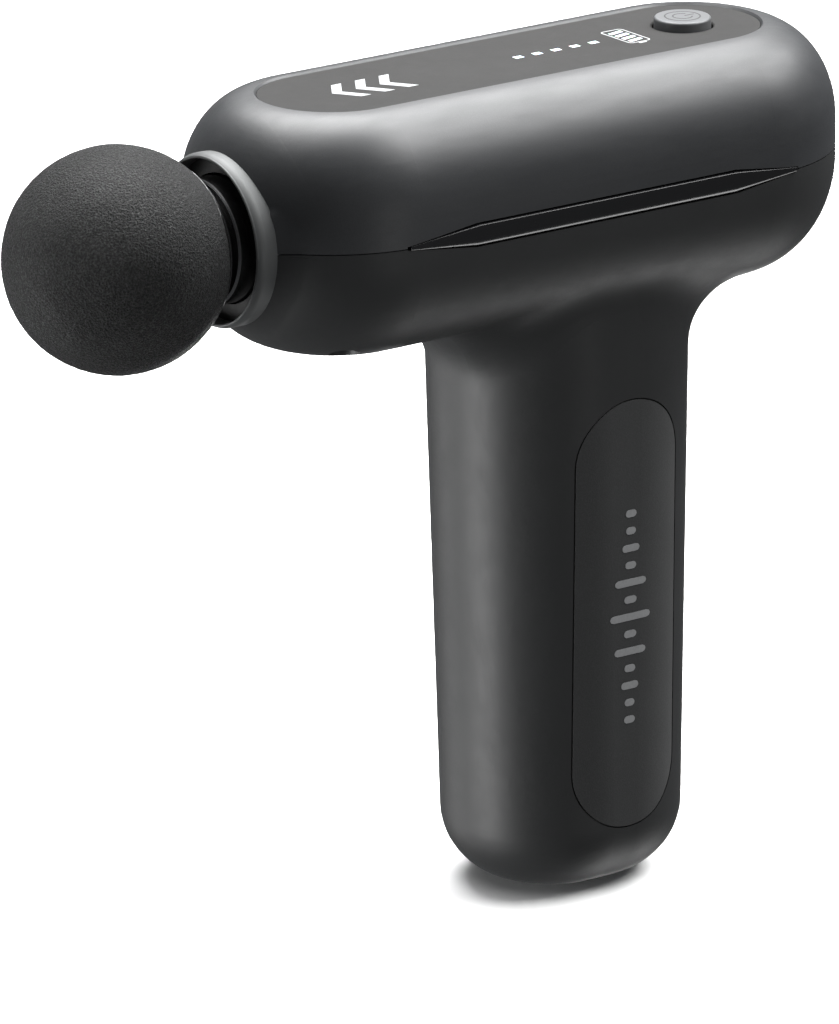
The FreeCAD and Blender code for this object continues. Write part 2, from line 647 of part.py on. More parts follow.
# ---- button, switch and lights --------------------------------------------
def power_button():
    top = TOP_Z + BUTTON_RAISED
    cap = post(BUTTON_R, BUTTON_X, 0, (CEILING - 1.3, top))
    rim = [e for e in cap.Edges if e.BoundBox.ZMin > top - SMALL]
    cap = cap.makeFillet(0.5, rim)
    return cap.fuse(post(7.0, BUTTON_X, 0, (CEILING - 1.3, CEILING - 0.3))).removeSplitter()


def power_switch():
    low = CONTROL_BOARD_TOP
    body = box((BUTTON_X - 3, BUTTON_X + 3), (-3, 3), (low, 156.9))
    return body.cut(post(1.75, BUTTON_X, 0, (156.0, 158)))


def control_board():
    solid = box((-14, 40), (-10.5, 10.5), (CONTROL_BOARD_TOP - BOARD, CONTROL_BOARD_TOP))
    solid = solid.makeFillet(2.0, [e for e in solid.Edges if e.BoundBox.ZLength > 1.5])
    cuts = []
    for x in CONTROL_SCREW_X:
        cuts += sides(post(SMALL_SCREW_R + 0.1, x, CONTROL_SCREW_Y, (150, 155)))
    return solid.cut(cuts)


def status_leds():
    z = (CONTROL_BOARD_TOP, CONTROL_BOARD_TOP + 0.8)
    chips = [box((x - 0.8, x + 0.8), (-0.5, 0.5), z) for x in dot_centres()]
    for i in range(GAUGE_BARS):
        y = (i - (GAUGE_BARS - 1) / 2) * GAUGE_PITCH
        chips.append(box((GAUGE_X - 0.8, GAUGE_X + 0.8), (y - 0.5, y + 0.5), z))
    return group(chips)


# ---- battery, main board and charging -------------------------------------
def cell(x, z):
    """A rechargeable cell with its raised positive end."""
    body = post(CELL_R, x, CELL_Y, (z, z + CELL_LEN - 1.0))
    return body.fuse(post(4.0, x, CELL_Y, (z, z + CELL_LEN))).removeSplitter()


def battery_holder(z, pocket, board_z):
    """A cap over both cells' ends, with two posts that carry the main board."""
    solid = slab(0, CELL_Y, CELL_X + HOLDER_R, HOLDER_R, z)
    arms = []
    for x in (-10.0, 10.0):
        arms.append(box((x - 2.2, x + 2.2), (MAIN_BOARD_Y, CELL_Y - 5), (board_z - 2.2, board_z + 2.2)))
    solid = solid.fuse(arms)
    cuts = [post(CELL_R, x, CELL_Y, pocket) for x in (-CELL_X, CELL_X)]
    cuts.append(box((-CELL_X, CELL_X), (CELL_Y - 2.2, CELL_Y + 2.2), pocket))
    for x in (-10.0, 10.0):
        cuts.append(Part.makeCylinder(SMALL_SCREW_R, 3.0, V(x, MAIN_BOARD_Y, board_z), V(0, 1, 0)))
    return solid.cut(cuts).removeSplitter()


def holder_upper():
    z = HOLDER_Z[1]
    solid = battery_holder(z, (z[0] - 1, CELL_Z + CELL_LEN + 0.3), 83.5)
    return solid.cut([post(1.2, x, CELL_Y, (80, 90)) for x in (-CELL_X, CELL_X)])


def cell_links():
    """Nickel tabs: one joins the cells below, one for each lead above."""
    top = CELL_Z + CELL_LEN
    low = box((-CELL_X - 3, CELL_X + 3), (CELL_Y - 2, CELL_Y + 2), (CELL_Z - 0.3, CELL_Z))
    tabs = [box((x - 3, x + 3), (CELL_Y - 2, CELL_Y + 2), (top, top + 0.3)) for x in (-CELL_X, CELL_X)]
    return group([low] + tabs)


def battery_pad():
    solid = box((-8.5, 8.5), (CELL_Y + 5, 17.2), (38, 68))
    return solid.cut([post(CELL_R, x, CELL_Y, (30, 80)) for x in (-CELL_X, CELL_X)])


def main_board():
    solid = box((-14.5, 14.5), (MAIN_BOARD_Y - BOARD, MAIN_BOARD_Y), (18.5, 93))
    holes = [Part.makeCylinder(SMALL_SCREW_R + 0.1, 5, V(x, MAIN_BOARD_Y - 3, z), V(0, 1, 0))
             for x in (-10.0, 10.0) for z in (21.5, 83.5)]
    return solid.cut(holes)


def main_board_parts():
    """Chips and capacitors on the outer face, one socket on the inner face."""
    out = MAIN_BOARD_Y - BOARD
    pieces = [box((-5, 5), (out - 1.2, out), (48, 58)), box((-11, -6), (out - 1.0, out), (66, 72)),
              box((-2.5, 2.5), (out - 1.0, out), (66, 72)), box((6, 11), (out - 1.0, out), (66, 72)),
              box((-9, -1), (out - 3.0, out), (32, 40)),
              box((9.5, 14.4), (MAIN_BOARD_Y, -5.4), (88.3, 92.5))]
    pieces.append(Part.makeCylinder(3.2, 3.4, V(6.5, out - 3.4, 38), V(0, 1, 0)))
    return group(pieces)


def main_board_screws():
    """Four small screws that face outwards across the board."""
    out = []
    for x in (-10.0, 10.0):
        for z in (21.5, 83.5):
            y = MAIN_BOARD_Y - BOARD
            head = Part.makeCylinder(1.9, 1.3, V(x, y - 1.3, z), V(0, 1, 0))
            head = head.cut(box((x - 1.1, x + 1.1), (y - 2, y - 0.7), (z - 0.25, z + 0.25)))
            shank = Part.makeCylinder(SMALL_SCREW_R, BOARD + 2.8, V(x, y, z), V(0, 1, 0))
            out.append(head.fuse(shank).removeSplitter())
    return group(out)


def charge_board():
    z = (CHARGE_BOARD_TOP - BOARD, CHARGE_BOARD_TOP)
    solid = box((-2, 17.5), (-9, 9), z)
    solid = solid.makeFillet(3.0, [e for e in solid.Edges if e.BoundBox.ZLength > 1.5])
    return solid.cut(sides(post(SMALL_SCREW_R + 0.1, CHARGE_SCREW[0], CHARGE_SCREW[1], (5, 12))))


def usb_port():
    """A metal charging socket with its tongue."""
    shell = usb_outline(0, (15.4, 22.6)).cut(usb_outline(-0.35, (17.0, 24.0)))
    return shell.fuse(box((16.5, 21.8), (-3.3, 3.3), (USB_Z - 0.35, USB_Z + 0.35))).removeSplitter()


def cable_parts():
    """The leads that are held inside the housing, each along its own route."""
    y = MAIN_BOARD_Y + 0.8
    motor = [cable([(-9.5, -3.0 + 3.0 * i, CORE_Z[0] - 0.75), (-9.5, -3.0 + 3.0 * i, 109.0),
                    (-6.0 + 3.0 * i, y, 101.0), (-6.0 + 3.0 * i, y, 89.5)], 0.75, 3.5)
             for i in range(3)]
    top = CELL_Z + CELL_LEN + 0.3
    battery = [cable([(s * CELL_X, CELL_Y, top), (s * CELL_X, CELL_Y, 95.0),
                      (s * 8.0, y, 95.0), (s * 8.0, y, 88.9)], 0.8, 3.5) for s in (-1, 1)]
    control = cable([(34, 0, 152.1), (34, 0, 138), (16, 0, 127), (16, -3, 108),
                     (12, -7.2, 101), (12, -7.2, 92.5)], 1.4, 5.0)
    charge = [post(0.6, x, y, (CHARGE_BOARD_TOP, 30.0)) for x in (4.0, 7.0)]
    return {"motor_leads": group(motor), "battery_leads": group(battery),
            "control_cable": control, "charge_leads": group(charge)}


# ---- all pieces -----------------------------------------------------------
def all_parts():
    shell = common_shell()
    strips, grips = sides(accent_strip()), sides(grip_panel())
    stem = attachment_stem()
    gx, gy = GUIDE_SCREW
    sx, sy = SHELL_SCREW
    bracket_screws = []
    for x in BRACKET_SCREW_X:
        bracket_screws += sides(flat_screw(x, BRACKET_SCREW_Y, (DECK_Z, DECK_Z + 1.7),
                                           BRACKET_Z[0] - 1.7, CASE_SCREW_R, 2.8))
    board_screws = []
    for x in CONTROL_SCREW_X:
        board_screws += sides(screw(x, CONTROL_SCREW_Y, (150.8, 152.1), (152.0, 157.0), SMALL_SCREW_R, 1.9))
    charge_screws = sides(flat_screw(CHARGE_SCREW[0], CHARGE_SCREW[1], (CHARGE_BOARD_TOP, 9.9),
                                     4.2, SMALL_SCREW_R, 1.9))
    case_screws = sides(screw(sx, sy, (125.8, 128.0), (127.0, 150.0), CASE_SCREW_R, 2.7))
    guide_screws = sides(screw(gx, gy, (119.3, 121.5), (121.0, LUG_Z[1] - 1.3), CASE_SCREW_R, 2.7))
    dots = [dot_peg(x, 0.0, (CEILING, PANEL_Z)) for x in dot_centres()]
    bars = [gauge_bar(i, 0.0, (CEILING, PANEL_Z)) for i in range(GAUGE_BARS)]
    parts = {
        "upper_shell": upper_shell(shell),
        "lower_shell": lower_shell(shell),
        "top_panel": top_panel(),
        "speed_light_guide": light_guide(GUIDE_SLOTS["dots"], dots),
        "battery_light_guide": light_guide(GUIDE_SLOTS["gauge"], bars),
        "accent_strip_left": strips[0],
        "accent_strip_right": strips[1],
        "grip_panel_left": grips[0],
        "grip_panel_right": grips[1],
        "nose_collar": nose_collar(),
        "dust_seal": dust_seal(),
        "shell_screws": group(case_screws),
        "guide_screws": group(guide_screws),
        "guide_housing": guide_housing(),
        "guide_bushing": ring(SOCKET_OUT + RUN_GAP, BUSH_OUT, (GUIDE_FRONT, GUIDE_REAR)),
        "plunger": plunger(),
        "motor_bracket": motor_bracket(),
        "bracket_screws": group(bracket_screws),
        "bearing_lower": bearing((BRACKET_Z[0] + 0.1, DECK_Z + 0.6)),
        "bearing_upper": bearing((DECK_Z + 5.9, DECK_Z + 8.4)),
        "stator_core": stator_core(),
        "stator_windings": stator_windings(),
        "rotor_can": rotor_can(),
        "rotor_magnets": rotor_magnets(),
        "motor_shaft": post(SHAFT_R, MOTOR_X, 0, (BRACKET_Z[0] + 0.3, CRANK_Z[0] + 1.2)),
        "crank_disc": crank_disc(),
        "crank_pin": post(PIN_R, PIN_X, 0, (CRANK_Z[0] + 1.4, ROLLER_Z[1] + 1.0)),
        "crank_roller": post(ROLLER_R, PIN_X, 0, ROLLER_Z).cut(
            post(PIN_R + RUN_GAP, PIN_X, 0, (130, 145))),
        "pin_clip": pin_clip(),
        "attachment_stem": stem,
        "massage_ball": massage_ball(stem),
        "stem_sleeve": stem_sleeve(),
        "power_button": power_button(),
        "switch_stem": post(1.6, BUTTON_X, 0, (156.75, CEILING - 1.3)),
        "power_switch": power_switch(),
        "control_board": control_board(),
        "status_leds": status_leds(),
        "control_board_screws": group(board_screws),
        "battery_cell_front": cell(-CELL_X, CELL_Z),
        "battery_cell_rear": cell(CELL_X, CELL_Z),
        "battery_holder_lower": battery_holder(HOLDER_Z[0], (CELL_Z - 0.3, 30), 21.5),
        "battery_holder_upper": holder_upper(),
        "cell_links": cell_links(),
        "battery_pad": battery_pad(),
        "main_board": main_board(),
        "main_board_parts": main_board_parts(),
        "main_board_screws": main_board_screws(),
        "charge_board": charge_board(),
        "charge_board_screws": group(charge_screws),
        "usb_port": usb_port(),
    }
    for name, x in DAMPERS.items():
        parts[name] = ring(GUIDE_OUT, DAMPER_OUT, x)
    parts.update(cable_parts())
    return parts


def main():
    os.makedirs("parts", exist_ok=True)
    for name, shape in all_parts().items():
        shape.exportStep("parts/%s.step" % name)
        print("%-24s %8.1f mm3  solids %d  valid %s" % (
            name, shape.Volume, len(shape.Solids), shape.isValid()))


main()
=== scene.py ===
import json
import math

import bmesh
import bpy
from mathutils import Matrix, Vector, noise
from mathutils.bvhtree import BVHTree


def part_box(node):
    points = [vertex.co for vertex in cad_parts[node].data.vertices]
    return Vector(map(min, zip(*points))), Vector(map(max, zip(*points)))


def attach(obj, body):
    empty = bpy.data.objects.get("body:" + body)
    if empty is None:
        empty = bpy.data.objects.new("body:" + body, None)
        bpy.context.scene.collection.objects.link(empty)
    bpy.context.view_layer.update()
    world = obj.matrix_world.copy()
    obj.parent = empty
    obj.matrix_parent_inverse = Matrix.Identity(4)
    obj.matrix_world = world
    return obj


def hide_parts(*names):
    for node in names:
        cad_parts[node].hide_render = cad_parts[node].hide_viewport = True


# A handheld massage gun with a foam ball head. Metres, +Z up along the handle, -X towards the ball.

MM = 0.001
FLANGE_FRONT = -89.0 * MM       # of the stem's flange, inside the ball
CORE_RADIUS = 8.0 * MM          # of the stem's core, inside the ball
STRIP_TAPERS = (15.3 * MM, 14.5 * MM)   # the lengths of an accent strip's two points
STRIP_TIP = 0.35 * MM           # half the height of an accent strip's tips
STRIP_PROUD = 0.45 * MM         # of the shell's side
STRIP_STEEP = 0.2 * MM          # the height of the strip's upper bevel
STRIP_ROLL = 2.5 * MM           # the radius of the strip's lower bevel
STRIP_LEAN = math.radians(42)   # the tilt at the foot of the lower bevel
STRIP_CREASE = math.radians(24)     # edges sharper than this stay crisp
CHEVRON_TIP, CHEVRON_PITCH = -51.9 * MM, 5.45 * MM
GAUGE_HALF_X, GAUGE_HALF_Y = 2.55 * MM, 5.0 * MM    # of the charge gauge's outline
GAUGE_LINE = 0.32 * MM
SYMBOL_RING, SYMBOL_ARC = 3.5 * MM, 1.85 * MM       # radii of the button's symbol
SYMBOL_LINE = 0.13 * MM         # half the width of its lines
MARK_START, MARK_END, MARK_BARS = 35 * MM, 76 * MM, 13      # heights and number of the grip's bars
MARK_BAR_HALF = 0.72 * MM       # half the height of one bar
MARK_SHORT, MARK_SWELL = 1.1 * MM, 3.6 * MM     # half the shortest bar, and what the middle adds to it
MARK_SPREAD = 3.4               # bars, from the middle one to where the swell dies down
FAIRING_STEP, FAIRING_RINGS, FAIRING_TURNS = 0.3 * MM, 24, 96     # grid of a nose fairing
FAIRING_REACH = 5               # rings, the spread of the running average
FAIRING_PROUD = 0.015 * MM      # of the shells
SEAM_CLEAR = 0.2 * MM           # from the parting plane to a fairing's edge

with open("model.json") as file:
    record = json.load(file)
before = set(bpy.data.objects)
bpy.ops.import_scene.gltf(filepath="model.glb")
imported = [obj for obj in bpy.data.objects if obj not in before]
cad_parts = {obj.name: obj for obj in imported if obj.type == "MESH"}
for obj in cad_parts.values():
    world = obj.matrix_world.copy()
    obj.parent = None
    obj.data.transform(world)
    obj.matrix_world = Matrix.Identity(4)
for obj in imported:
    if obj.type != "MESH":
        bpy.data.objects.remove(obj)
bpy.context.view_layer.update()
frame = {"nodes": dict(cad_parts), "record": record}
frame_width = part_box("lower_shell")[1].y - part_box("lower_shell")[0].y


# ---- materials ------------------------------------------------------------
class Finish:
    """A Principled material, with short calls for the nodes that give it its detail."""

    def __init__(self, name, **sockets):
        self.material = bpy.data.materials.new(name)
        self.material.use_nodes = True
        self.nodes = self.material.node_tree.nodes
        self.links = self.material.node_tree.links
        self.shader = self.nodes["Principled BSDF"]
        self.place = self.nodes.new("ShaderNodeTexCoord").outputs["Object"]
        for socket, value in sockets.items():
            self.put(self.shader.inputs[socket.replace("_", " ")], value)

    def put(self, socket, value):
        if isinstance(value, bpy.types.NodeSocket):
            self.links.new(value, socket)
        else:
            socket.default_value = value

    def add(self, kind, inputs, **settings):
        node = self.nodes.new("ShaderNode" + kind)
        for key, value in settings.items():
            setattr(node, key, value)
        for key, value in inputs.items():
            self.put(node.inputs[key], value)
        return node

    def stretched(self, scale, shift=(0, 0, 0)):
        """Object coordinates, shifted and then scaled along each axis."""
        moved = self.add("VectorMath", {0: self.place, 1: shift}, operation="SUBTRACT")
        return self.add("VectorMath", {0: moved.outputs[0], 1: scale}, operation="MULTIPLY").outputs[0]

    def noise(self, size, detail=2.0, rough=0.5, place=None):
        """Noise from 0 to 1 whose grains are about size metres across."""
        inputs = {"Vector": place or self.place, "Scale": 1 / size, "Detail": detail, "Roughness": rough}
        return self.add("TexNoise", inputs).outputs["Fac"]

    def cells(self, size, feature="F1", metric="EUCLIDEAN"):
        """Distance to the nearest of a scatter of points about size metres apart."""
        inputs = {"Vector": self.place, "Scale": 1 / size}
        return self.add("TexVoronoi", inputs, feature=feature, distance=metric).outputs["Distance"]

    def rings(self, pitch, shift=(0, 0, 0), axis="Z"):
        """Even rings round an axis, from 0 to 1."""
        inputs = {"Vector": self.stretched((1, 1, 1), shift), "Scale": 0.314 / pitch}
        return self.add("TexWave", inputs, wave_type="RINGS", rings_direction=axis).outputs["Fac"]

    def layers(self, pitch, axis="Z"):
        """Even bands across an axis, from 0 to 1."""
        inputs = {"Vector": self.place, "Scale": 0.314 / pitch}
        return self.add("TexWave", inputs, wave_type="BANDS", bands_direction=axis).outputs["Fac"]

    def span(self, value, low, high, start=0.0, end=1.0):
        """The value's range from start to end, spread from low to high."""
        inputs = {"Value": value, "From Min": start, "From Max": end, "To Min": low, "To Max": high}
        return self.add("MapRange", inputs).outputs["Result"]

    def times(self, a, b):
        return self.add("Math", {0: a, 1: b}, operation="MULTIPLY").outputs[0]

    def plus(self, a, b):
        return self.add("Math", {0: a, 1: b}, operation="ADD").outputs[0]

    def tint(self, value, *stops):
        """A colour for each value, from stops of a place and a colour."""
        ramp = self.nodes.new("ShaderNodeValToRGB")
        self.links.new(value, ramp.inputs["Fac"])
        while len(ramp.color_ramp.elements) < len(stops):
            ramp.color_ramp.elements.new(0.5)
        for element, (place, colour) in zip(ramp.color_ramp.elements, stops):
            element.position = place
            element.color = colour
        return ramp.outputs["Color"]

    def set(self, socket, value):
        self.put(self.shader.inputs[socket], value)

    def relief(self, *reliefs):
        """Bump from pairs of a height, 0 to 1, and its depth in metres."""
        normal = None
        for height, depth in reliefs:
            node = self.add("Bump", {"Height": height, "Distance": depth})
            if normal is not None:
                self.links.new(normal, node.inputs["Normal"])
            normal = node.outputs["Normal"]
        self.set("Normal", normal)


def rgb(red, green=None, blue=None):
    """A colour with full alpha; one number is a grey."""
    if green is None:
        green = blue = red
    return (red, green, blue, 1.0)


def shade(colour, share):
    return tuple(c * share for c in colour[:3]) + (1.0,)


def moulded(name, colour, rough, grain=0.3 * MM, depth=0.004 * MM, change=0.12, spark=0.06, **sockets):
    """Moulded plastic: a fine spark-eroded grain, slow waves in colour and a few handling marks."""
    f = Finish(name, **sockets)
    fine = f.noise(grain, 3.0, 0.6)
    slow = f.noise(22 * MM, 3.0)
    marks = f.noise(5 * MM, 5.0, 0.7)
    f.set("Base Color", f.tint(f.plus(f.times(slow, 0.6), f.times(fine, 0.4)),
                               (0.3, shade(colour, 1 - change)), (0.7, shade(colour, 1 + change))))
    f.set("Roughness", f.plus(f.span(marks, rough - spark / 2, rough + spark / 2, 0.3, 0.7),
                              f.span(fine, -spark, spark, 0.2, 0.8)))
    f.relief((fine, depth), (f.cells(grain * 1.7), depth * 0.5), (slow, 0.02 * MM))
    return f.material


def metal(name, colour, rough, grain=0.25 * MM, depth=0.003 * MM, lie=(1, 1, 1), **sockets):
    """Bare metal with tool marks that lie along one way, and a slight stain."""
    f = Finish(name, Metallic=1.0, **sockets)
    lines = f.noise(grain, 4.0, 0.65, f.stretched(lie))
    stain = f.noise(6 * MM, 4.0, 0.6)
    f.set("Base Color", f.tint(stain, (0.25, shade(colour, 0.78)), (0.75, colour)))
    f.set("Roughness", f.plus(f.span(lines, -0.08, 0.08, 0.2, 0.8),
                              f.span(stain, rough - 0.05, rough + 0.05)))
    f.relief((lines, depth))
    return f.material


def turned(name, colour, rough, centre, pitch=0.22 * MM, axis="Z", depth=0.002 * MM):
    """Metal turned on a lathe: fine rings round its axis."""
    f = Finish(name, Metallic=1.0)
    rings = f.rings(pitch, centre, axis)
    stain = f.noise(5 * MM, 4.0, 0.6)
    f.set("Base Color", f.tint(stain, (0.25, shade(colour, 0.8)), (0.75, colour)))
    f.set("Roughness", f.plus(f.span(rings, -0.05, 0.05), f.span(stain, rough - 0.04, rough + 0.04)))
    f.relief((rings, depth), (f.noise(0.3 * MM, 3.0), depth))
    return f.material


def gloss(name, colour, rough=0.06):
    """Polished moulded plastic: hairline scratches and a little dust over a clear gloss."""
    f = Finish(name, Coat_Weight=0.6, Coat_Roughness=0.14, IOR=1.5)
    hair = f.noise(0.08 * MM, 2.0, 0.5, f.stretched((0.03, 1, 1)))
    dust = f.noise(0.45 * MM, 4.0, 0.75)
    f.set("Base Color", f.tint(dust, (0.62, colour), (0.8, shade(colour, 2.2))))
    f.set("Roughness", f.plus(f.span(hair, 0, 0.06, 0.45, 0.75),
                              f.span(dust, rough, rough + 0.2, 0.6, 0.85)))
    f.relief((f.noise(4 * MM, 1.0), 0.012 * MM))
    return f.material


def soft_rubber(name, colour, rough=0.72, grain=0.28 * MM, depth=0.012 * MM, sheen=0.12):
    """Soft-touch rubber: a velvety skin with a fine pebble and faint finger marks."""
    f = Finish(name, Sheen_Weight=sheen, Sheen_Roughness=0.5)
    pebble = f.cells(grain)
    fine = f.noise(grain * 0.6, 3.0)
    print_marks = f.noise(9 * MM, 4.0, 0.65)
    f.set("Base Color", f.tint(f.plus(f.times(pebble, 0.5), f.times(print_marks, 0.5)),
                               (0.25, shade(colour, 0.85)), (0.65, shade(colour, 1.15))))
    f.set("Roughness", f.plus(f.span(print_marks, rough - 0.07, rough + 0.05, 0.3, 0.7),
                              f.span(fine, -0.05, 0.05, 0.2, 0.8)))
    f.relief((pebble, depth), (fine, depth * 0.4))
    return f.material


def satin_paint(name, colour):
    """The upper shell: satin paint with fine metal flake over a smooth moulding."""
    f = Finish(name, IOR=1.6, Coat_Weight=0.15, Coat_Roughness=0.42)
    flake = f.cells(0.16 * MM)
    fine = f.noise(0.22 * MM, 3.0, 0.6)
    slow = f.noise(30 * MM, 2.0)
    wipe = f.noise(3 * MM, 5.0, 0.7, f.stretched((0.25, 1, 1)))
    f.set("Base Color", f.tint(f.plus(f.times(flake, 0.7), f.times(slow, 0.3)),
                               (0.2, shade(colour, 1.25)), (0.55, shade(colour, 0.9))))
    f.set("Roughness", f.plus(f.span(wipe, 0.43, 0.51, 0.35, 0.65), f.span(fine, -0.05, 0.05, 0.25, 0.75)))
    f.relief((flake, 0.004 * MM), (fine, 0.003 * MM), (slow, 0.03 * MM))
    return f.material


def foam_skin(name, colour):
    """Closed-cell foam: a dark skin of fine burst cells, with painted shade in its hollows and painted
    glints on its raised specks.
    """
    f = Finish(name, IOR=1.4)
    specks = f.noise(0.36 * MM, 2.5, 0.8)
    pits = f.cells(0.42 * MM)
    patch = f.noise(4 * MM, 4.0, 0.6)
    pit_shade_and_glints = f.plus(f.times(specks, 0.7), f.plus(f.times(pits, 0.25), f.times(patch, 0.15)))
    # Painted shade and painted glints: the base colour falls to 0.4 of the foam's tone in the low specks
    # and pit hollows, and rises to three times it on the high specks, standing in for light caught on the
    # cell edges.
    f.set("Base Color", f.tint(pit_shade_and_glints, (0.42, shade(colour, 0.4)), (0.55, colour), (0.68, shade(colour, 3))))
    f.set("Roughness", f.span(specks, 0.75, 0.35, 0.38, 0.66))
    f.relief((pits, 0.18 * MM), (specks, 0.4 * MM))
    return f.material


def circuit_board(name, colour):
    """Solder mask over copper tracks, with tinned pads."""
    f = Finish(name, Coat_Weight=0.4, Coat_Roughness=0.2)
    tracks = f.cells(2.6 * MM, "DISTANCE_TO_EDGE")
    pads = f.cells(2.1 * MM, "F1", "CHEBYCHEV")
    line = f.span(tracks, 1, 0, 0.05, 0.09)
    f.set("Base Color", f.tint(f.plus(f.span(pads, 1, 0, 0.10, 0.13), f.times(line, 0.5)),
                               (0.0, colour), (0.45, shade(colour, 1.9)), (0.8, rgb(0.62, 0.6, 0.52))))
    f.set("Metallic", f.span(pads, 0.9, 0, 0.10, 0.13))
    f.set("Roughness", f.span(f.noise(1.2 * MM, 3.0), 0.3, 0.45))
    f.relief((line, 0.03 * MM), (f.noise(0.3 * MM), 0.004 * MM))
    return f.material


def wound_copper(name, colour, centre):
    """Enamelled wire laid turn beside turn, with painted shade in the grooves between turns."""
    f = Finish(name, Metallic=1.0, Coat_Weight=0.7, Coat_Roughness=0.12)
    turns = f.rings(0.42 * MM, centre)
    # Painted shade: the base colour falls to 0.3 of the copper's in the grooves between turns, where the
    # bump is lowest.
    f.set("Base Color", f.tint(turns, (0.0, shade(colour, 0.3)), (0.45, colour)))
    f.set("Roughness", f.span(f.noise(0.5 * MM, 3.0), 0.22, 0.38))
    f.relief((turns, 0.09 * MM))
    return f.material


def stacked_steel(name, colour):
    """Thin electrical-steel sheets, stacked."""
    f = Finish(name, Metallic=1.0)
    sheets = f.layers(0.35 * MM)
    f.set("Base Color", f.tint(f.plus(f.times(sheets, 0.7), f.times(f.noise(2 * MM, 4.0), 0.3)),
                               (0.1, shade(colour, 0.5)), (0.6, colour)))
    f.set("Roughness", f.span(sheets, 0.6, 0.42))
    f.relief((sheets, 0.03 * MM), (f.noise(0.4 * MM, 3.0), 0.005 * MM))
    return f.material


def wrapped_cell(name, colour, top):
    """A heat-shrunk sleeve with small creases, and the bare steel of the positive end."""
    f = Finish(name, Coat_Weight=0.3, Coat_Roughness=0.15)
    height = f.add("SeparateXYZ", {"Vector": f.place}).outputs["Z"]
    bare = f.span(height, 0, 1, top - 1.1 * MM, top - 1.0 * MM)
    creases = f.noise(1.6 * MM, 4.0, 0.6, f.stretched((1, 1, 0.3)))
    f.set("Base Color", f.tint(bare, (0.0, colour), (0.9, rgb(0.62, 0.61, 0.58))))
    f.set("Metallic", bare)
    f.set("Roughness", f.span(creases, 0.28, 0.42, 0.3, 0.7))
    f.relief((creases, 0.05 * MM))
    return f.material


def milky_window(name, colour):
    """A light guide: milky clear plastic, lit from below."""
    f = Finish(name, Subsurface_Weight=0.5, Subsurface_Scale=1 * MM, Emission_Color=rgb(1),
               Emission_Strength=0.35)
    cloud = f.noise(0.6 * MM, 3.0)
    f.set("Base Color", f.tint(cloud, (0.3, shade(colour, 0.92)), (0.7, colour)))
    f.set("Roughness", f.span(cloud, 0.25, 0.4))
    f.relief((f.noise(0.25 * MM), 0.004 * MM))
    return f.material


def printed_ink(name, colour):
    """Screen-printed ink: a slight mesh and uneven edge gloss."""
    f = Finish(name)
    mesh = f.cells(0.12 * MM, "F1", "CHEBYCHEV")
    f.set("Base Color", f.tint(f.noise(0.5 * MM, 3.0), (0.3, shade(colour, 0.9)), (0.6, colour)))
    f.set("Roughness", f.span(mesh, 0.42, 0.6))
    f.relief((mesh, 0.004 * MM))
    return f.material


def phosphor(name, colour):
    """A white lamp chip with its yellow phosphor face."""
    f = Finish(name, Subsurface_Weight=0.2, Subsurface_Scale=0.3 * MM, Emission_Color=rgb(1, 0.95, 0.8),
               Emission_Strength=0.6)
    f.set("Base Color", f.tint(f.cells(0.9 * MM), (0.2, rgb(0.9, 0.75, 0.25)), (0.45, colour)))
    f.set("Roughness", f.span(f.noise(0.2 * MM), 0.3, 0.5))
    f.relief((f.noise(0.15 * MM), 0.01 * MM))
    return f.material


def middle(node):
    low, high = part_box(node)
    return (low + high) / 2


